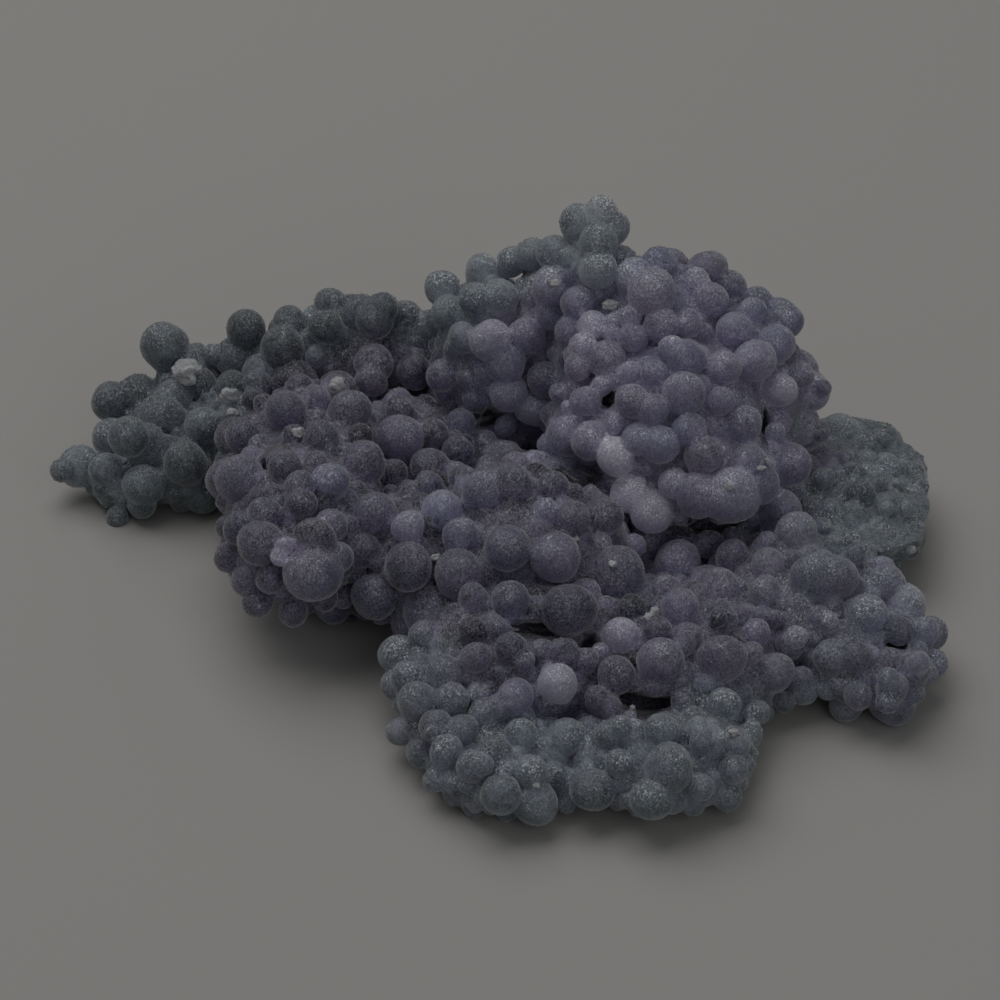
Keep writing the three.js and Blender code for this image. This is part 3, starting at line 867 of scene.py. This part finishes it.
def makeStoneGroup():
    look = stonePattern
    group = bpy.data.node_groups.new("stoneColour", "ShaderNodeTree")
    for name in ("Green", "Tone_and_painted_light"):
        group.interface.new_socket(name, in_out="INPUT", socket_type="NodeSocketFloat")
    for name, kind in (("Color", "NodeSocketColor"), ("FrostAndGlint", "NodeSocketFloat"),
                       ("Height", "NodeSocketFloat")):
        group.interface.new_socket(name, in_out="OUTPUT", socket_type=kind)
    given = addNode(group, "NodeGroupInput")
    made = addNode(group, "NodeGroupOutput")
    coordinates = addNode(group, "ShaderNodeTexCoord")
    place = coordinates.outputs["Object"]
    facing = addNode(group, "ShaderNodeSeparateXYZ")
    group.links.new(coordinates.outputs["Normal"], facing.inputs["Vector"])
    broad = noiseNode(group, place, *look["broad"])
    patch = noiseNode(group, place, *look["patch"])
    cloud = noiseNode(group, place, *look["cloud"])
    cell = cellNode(group, place, look["cell"])
    fineCell = cellNode(group, place, look["fineCell"])

    # purple in the middle and green at the rim, each in two hues that come and go in patches
    purple = mixNode(group, rangeNode(group, broad, *look["purples"]),
                     stoneColours["purple"], stoneColours["bluePurple"])
    green = mixNode(group, rangeNode(group, patch, *look["greens"]),
                    stoneColours["green"], stoneColours["darkGreen"])
    wavering = rangeNode(group, patch, *look["wavering"])
    wavering = mathNode(group, "ADD", given.outputs["Green"], wavering)
    colour = mixNode(group, rangeNode(group, wavering, *look["edge"]), purple, green)

    # each tiny quartz face has its own lightness, and in the druse patches some are white specks, partly
    # real frost and partly painted glints, lighter on upward faces where the overhead light falls
    chance = brightnessNode(group, cell.outputs["Color"])
    specks = mathNode(group, "POWER", chance, look["frostAndGlintRarity"])
    patches = rangeNode(group, patch, *look["frostAndGlintPatches"])
    # painted highlight: specks are lighter on upward faces, where the light falls
    onTop = rangeNode(group, facing.outputs["Z"], *look["paintedGlintOnTop"])
    frostAndGlint = mathNode(group, "MULTIPLY", mathNode(group, "MULTIPLY", specks, patches), onTop)
    frostedAndGlinting = mixNode(group, frostAndGlint, colour, stoneColours["frostAndGlint"])
    faces = rangeNode(group, brightnessNode(group, fineCell.outputs["Color"]), *look["faces"])
    clouds = rangeNode(group, cloud, *look["clouds"])
    lightness = mathNode(group, "ADD", given.outputs["Tone_and_painted_light"], 1.0)
    lightness = mathNode(group, "ADD", lightness, mathNode(group, "ADD", faces, clouds))

    # where the tone is high, and with it the painted light on the listed beads, the colour is less
    # saturated
    desaturated = addNode(group, "ShaderNodeHueSaturation")
    desaturationByTone = rangeNode(group, given.outputs["Tone_and_painted_light"], *look["desaturationByTone"])
    group.links.new(desaturationByTone, desaturated.inputs["Saturation"])
    group.links.new(frostedAndGlinting, desaturated.inputs["Color"])
    scaled = addNode(group, "ShaderNodeVectorMath", operation="SCALE")
    group.links.new(desaturated.outputs["Color"], scaled.inputs[0])
    group.links.new(lightness, scaled.inputs["Scale"])

    relief = look["relief"]
    bumps = mathNode(group, "MULTIPLY", cell.outputs["Distance"], relief["cell"])
    fineBumps = mathNode(group, "MULTIPLY", fineCell.outputs["Distance"], relief["fineCell"])
    swells = mathNode(group, "MULTIPLY", cloud, relief["cloud"])
    height = mathNode(group, "ADD", mathNode(group, "ADD", bumps, fineBumps), swells)
    group.links.new(scaled.outputs["Vector"], made.inputs["Color"])
    group.links.new(frostAndGlint, made.inputs["FrostAndGlint"])
    group.links.new(height, made.inputs["Height"])
    return group


def newMaterial(name):
    material = bpy.data.materials.new(name)
    material.use_nodes = True
    tree = material.node_tree
    shader = tree.nodes["Principled BSDF"]
    return material, tree, shader


def stoneNode(tree, stoneGroup):
    # the shared colour, with the mesh's own green and tone
    stone = addNode(tree, "ShaderNodeGroup", node_tree=stoneGroup)
    for name in ("Green", "Tone_and_painted_light"):
        attribute = addNode(tree, "ShaderNodeAttribute", attribute_name=name.lower())
        tree.links.new(attribute.outputs["Fac"], stone.inputs[name])
    return stone


def linkBump(tree, shader, height, strength, distance):
    bump = addNode(tree, "ShaderNodeBump")
    setSockets(bump, {"Strength": strength, "Distance": distance})
    tree.links.new(height, bump.inputs["Height"])
    tree.links.new(bump.outputs["Normal"], shader.inputs["Normal"])


crustFinish = {
    "IOR": 1.54,
    "Specular IOR Level": 0.55,
    "Subsurface Weight": 0.7,
    "Subsurface Radius": (1.0, 0.9, 1.05),
    "Subsurface Scale": 0.0024,
    "Sheen Weight": 1.0,
    "Sheen Roughness": 0.28,
}
crustSurface = {
    "roughness": (0, 1, 0.45, 0.22),    # smoother on the frosted specks and painted glints
    "bump": (0.8, 0.0001),              # strength, and height in metres
}


def makeCrustMaterial(stoneGroup):
    material, tree, shader = newMaterial("beadedChalcedony")
    setSockets(shader, crustFinish)
    shader.subsurface_method = "BURLEY"
    stone = stoneNode(tree, stoneGroup)
    roughness = rangeNode(tree, stone.outputs["FrostAndGlint"], *crustSurface["roughness"])
    tree.links.new(stone.outputs["Color"], shader.inputs["Base Color"])
    tree.links.new(roughness, shader.inputs["Roughness"])
    linkBump(tree, shader, stone.outputs["Height"], *crustSurface["bump"])
    return material


druseFinish = {
    "IOR": 1.54,
    "Specular IOR Level": 0.7,
}
druseSurface = {
    "roughness": (0.3, 0.7, 0.12, 0.3),
    # the crystals are made paler, partly as the quartz's own colour and partly as painted light that keeps
    # their shaded sides from reading dark
    "paleAndPaintedLight": (0.5, 0.5, 0.56),
    "paleAndPaintedLightShare": 0.2,
}


def makeDruseMaterial(stoneGroup):
    material, tree, shader = newMaterial("quartzDruse")
    setSockets(shader, druseFinish)
    stone = stoneNode(tree, stoneGroup)
    colour = mixNode(tree, druseSurface["paleAndPaintedLightShare"], stone.outputs["Color"], druseSurface["paleAndPaintedLight"])
    roughness = rangeNode(tree, stone.outputs["Height"], *druseSurface["roughness"])
    tree.links.new(colour, shader.inputs["Base Color"])
    tree.links.new(roughness, shader.inputs["Roughness"])
    return material


grainFinish = {
    "IOR": 1.5,
    "Subsurface Weight": 0.3,
    "Subsurface Radius": (1.0, 1.0, 1.0),
    "Subsurface Scale": 0.0005,
}
grainSurface = {
    "cloud": (1800, 4, 0.5),            # scale, detail and roughness of the noise
    "colours": ((0.62, 0.62, 0.63), (0.42, 0.42, 0.44)),
    "colourShare": (0.35, 0.65, 0, 1),
    "roughness": (0.3, 0.7, 0.3, 0.5),
    "bump": (0.5, 0.0001),
}


def makeGrainMaterial():
    material, tree, shader = newMaterial("whiteGrain")
    setSockets(shader, grainFinish)
    place = addNode(tree, "ShaderNodeTexCoord").outputs["Object"]
    cloud = noiseNode(tree, place, *grainSurface["cloud"])
    share = rangeNode(tree, cloud, *grainSurface["colourShare"])
    colour = mixNode(tree, share, *grainSurface["colours"])
    roughness = rangeNode(tree, cloud, *grainSurface["roughness"])
    tree.links.new(colour, shader.inputs["Base Color"])
    tree.links.new(roughness, shader.inputs["Roughness"])
    linkBump(tree, shader, cloud, *grainSurface["bump"])
    return material


stoneGroup = makeStoneGroup()
crustMaterial = makeCrustMaterial(stoneGroup)
druseMaterial = makeDruseMaterial(stoneGroup)
grainMaterial = makeGrainMaterial()
print("materials made")

# green and tone are worked out on the round beads, before the creases are softened
crustPointFinish = finishAt(meshPoints(grown), centres, radii, beadTonesAndPaintedLight(centres))
putFinish(grown, crustPointFinish)
soften(grown)
grown.shade_smooth()
grown.set_sharp_from_angle(angle=math.radians(crustLook["creaseAngle"]))


# quartz druse: tiny six-sided crystals

druse = {
    "pieces": 3,
    "crystalsEach": 8000,
    "sides": 6,
    "widths": (0.04, 0.09),     # mm; half widths, with more small ones than large ones
    "height": 1.3,              # in widths
    "heightSpread": (0.7, 1.2),
    "lean": 0.25,
    "patchSize": 4.0,           # mm
    "lowest": 0.4,
    # share of crystals where the pattern, or the slope, is 0, its rise from there, and its limits
    "inPatches": (0.2, 2.6, 0.03, 1.2),
    "onTop": (0.35, 0.9, 0.08, 1),
    "toneSpread": 0.2,
    "leastSize": 1e-12,
}


def crystalTemplate():
    # a ring of corners with a tip above and one below
    sides = druse["sides"]
    turns = [2 * math.pi * k / sides for k in range(sides)]
    points = [(math.cos(turn), math.sin(turn), 0) for turn in turns] + [(0, 0, 1), (0, 0, -1)]
    above = [(k, (k + 1) % sides, sides) for k in range(sides)]
    below = [((k + 1) % sides, k, sides + 1) for k in range(sides)]
    return np.array(points), np.array(above + below)


def plenty(value, atZero, rise, least, most):
    return np.clip(atZero + rise * value, least, most)


def drusePlaces(mesh, points, finish, count):
    # picks places over the faces, more of them where the stone has a druse patch
    mesh.calc_loop_triangles()
    corners = np.empty(len(mesh.loop_triangles) * 3, int)
    mesh.loop_triangles.foreach_get("vertices", corners)
    corners = corners.reshape(-1, 3)
    a, b, c = (points[corners[:, k]] for k in range(3))
    normals = np.cross(b - a, c - a)
    size = np.linalg.norm(normals, axis=1)
    normals /= size[:, None] + druse["leastSize"]
    middle = (a + b + c) / 3
    patch = unevenAt(middle / druse["patchSize"])
    weight = size * plenty(patch, *druse["inPatches"])
    weight *= plenty(normals[:, 2], *druse["onTop"]) * (middle[:, 2] > druse["lowest"])
    picked = draws.choice(len(corners), size=count, p=weight / weight.sum())
    shares = draws.dirichlet((1, 1, 1), size=count)
    places = (points[corners[picked]] * shares[:, :, None]).sum(1)
    finishes = (finish[corners[picked]] * shares[:, :, None]).sum(1)
    return places, normals[picked], finishes


def makeDruse(name, places, normals, finishes):
    points, faces = crystalTemplate()
    count = len(places)
    axes = normals + draws.normal(scale=druse["lean"], size=(count, 3))
    axes /= np.linalg.norm(axes, axis=1)[:, None]
    side = np.cross(axes, draws.normal(size=(count, 3)))
    side /= np.linalg.norm(side, axis=1)[:, None]
    across = np.cross(axes, side)
    least, most = druse["widths"]
    width = least + (most - least) * draws.rand(count, 1, 1) ** 2
    length = width * druse["height"] * draws.uniform(*druse["heightSpread"], (count, 1, 1))
    corners = (points[:, 0, None] * side[:, None] + points[:, 1, None] * across[:, None]) * width
    corners = corners + points[:, 2, None] * axes[:, None] * length + places[:, None]
    allFaces = faces + (np.arange(count) * len(points))[:, None, None]
    mesh = bpy.data.meshes.new(name)
    mesh.from_pydata(corners.reshape(-1, 3).tolist(), [], allFaces.reshape(-1, 3).tolist())
    finishes[:, 1] += draws.normal(scale=druse["toneSpread"], size=count)
    putFinish(mesh, np.repeat(finishes, len(points), axis=0))
    return mesh


druseCount = druse["pieces"] * druse["crystalsEach"]
places, normals, finishes = drusePlaces(grown, meshPoints(grown), crustPointFinish, druseCount)
order = np.argsort(places[:, 0])
for part, chosen in enumerate(np.array_split(order, druse["pieces"])):
    name = f"quartz_druse_{part + 1}"
    mesh = makeDruse(name, places[chosen], normals[chosen], finishes[chosen])
    pieceFrom(name, mesh, druseMaterial)
crust = pieceFrom("beaded_crust", grown, crustMaterial)
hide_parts("botryoidal_chalcedony")
print("druse made:", druseCount, "crystals")


# white grains

whiteGrains = [
    # across, up, half width and half height
    (4.4, 17.3, 0.45, 0.4), (8.8, 15.6, 0.65, 0.35), (21.4, 3.1, 0.25, 0.25), (20.8, 2.6, 0.4, 0.15),
    (18.4, 1.1, 0.3, 0.3), (9.0, -5.1, 0.35, 0.25), (6.1, -3.1, 0.3, 0.15), (12.4, -9.0, 0.4, 0.5),
    (11.9, -9.4, 0.4, 0.35), (2.9, -22.8, 0.3, 0.25), (18.7, -18.6, 0.4, 0.3), (10.6, -16.6, 0.2, 0.2),
    (32.8, -3.9, 0.5, 0.4), (-25.0, 10.2, 1.2, 1.0), (-21.7, 8.4, 0.75, 0.6), (-21.4, 6.9, 0.5, 0.4),
    (-13.0, 9.1, 0.65, 0.8), (-16.1, 5.4, 0.5, 0.4), (-5.1, -4.6, 0.4, 0.3), (-7.6, 0.2, 0.15, 0.15),
]
grainLook = {
    "proud": 0.25,
    "unevenness": 0.44,
    "waveTurn": 1.7,
}


def grainPoints(across, up, halfWidth, halfHeight):
    points, faces = balls["middling"]
    ray = sightRay(across, up)
    depth = depthOfSurface(ray, centres, radii)
    depth -= grainLook["proud"] * min(halfWidth, halfHeight) / sight["distance"]
    uneven = unevenAt(points * grainLook["waveTurn"] + (across, up, 0))
    points = points * (1 + grainLook["unevenness"] * uneven)[:, None]
    halves = np.array([halfWidth, (halfWidth + halfHeight) / 2, halfHeight])
    return points * halves + eye + ray * depth, faces


def makeGrains():
    allPoints, allFaces = [], []
    for grain in whiteGrains:
        points, faces = grainPoints(*grain)
        allFaces += [[corner + len(allPoints) * len(points) for corner in face] for face in faces]
        allPoints.append(points)
    mesh = bpy.data.meshes.new("white_grains")
    mesh.from_pydata(np.concatenate(allPoints).tolist(), [], allFaces)
    return mesh


pieceFrom("white_grains", makeGrains(), grainMaterial)
print("white grains made:", len(whiteGrains))


# floor, light and camera

room = {
    "floorReach": 2,            # metres from the middle to an edge
    "floorColour": (0.5, 0.485, 0.46, 1),
    "floorRoughness": 0.8,
    "airColour": (0.95, 0.97, 1.0, 1),
    "airStrength": 0.108,
}
lamps = {
    # place and size in metres, watts and colour
    "overhead": ((-0.15, 0.2, 0.55), 0.6, 1.24, (1.0, 1.0, 1.0)),
    "front": ((0.3, -0.5, 0.35), 0.4, 0.31, (0.97, 0.98, 1.0)),
}
lampTarget = Vector((0, 0, 0.01))


def makeFloor():
    reach = room["floorReach"]
    corners = np.array([(-reach, -reach, 0), (reach, -reach, 0), (reach, reach, 0), (-reach, reach, 0)])
    floor = objectFrom("floor", corners, [(0, 1, 2, 3)])
    material, tree, shader = newMaterial("paleFloor")
    setSockets(shader, {"Base Color": room["floorColour"], "Roughness": room["floorRoughness"]})
    floor.data.materials.append(material)
    bpy.context.scene.collection.objects.link(floor)


def makeLamp(name, place, size, watts, colour):
    light = bpy.data.lights.new(name, "AREA")
    light.size = size
    light.energy = watts
    light.color = colour
    lamp = bpy.data.objects.new(name, light)
    lamp.location = place
    lamp.rotation_euler = (lampTarget - Vector(place)).to_track_quat("-Z", "Y").to_euler()
    bpy.context.scene.collection.objects.link(lamp)


def makeAir():
    world = bpy.data.worlds.new("softLight")
    bpy.context.scene.world = world
    world.use_nodes = True
    setSockets(world.node_tree.nodes["Background"],
               {"Color": room["airColour"], "Strength": room["airStrength"]})


def makeCamera():
    camera = bpy.data.cameras.new("camera")
    camera.lens = sight["lens"]
    camera.sensor_width = sight["filmWidth"]
    camera.clip_start, camera.clip_end = sight["clip"]
    stand = bpy.data.objects.new("camera", camera)
    stand.location = eye * mm
    stand.rotation_euler = Vector(forward).to_track_quat("-Z", "Y").to_euler()
    bpy.context.scene.collection.objects.link(stand)
    bpy.context.scene.camera = stand


makeFloor()
for name, lamp in lamps.items():
    makeLamp(name, *lamp)
makeAir()
makeCamera()
bpy.context.scene.view_settings.view_transform = "Standard"
print("floor, light and camera made")
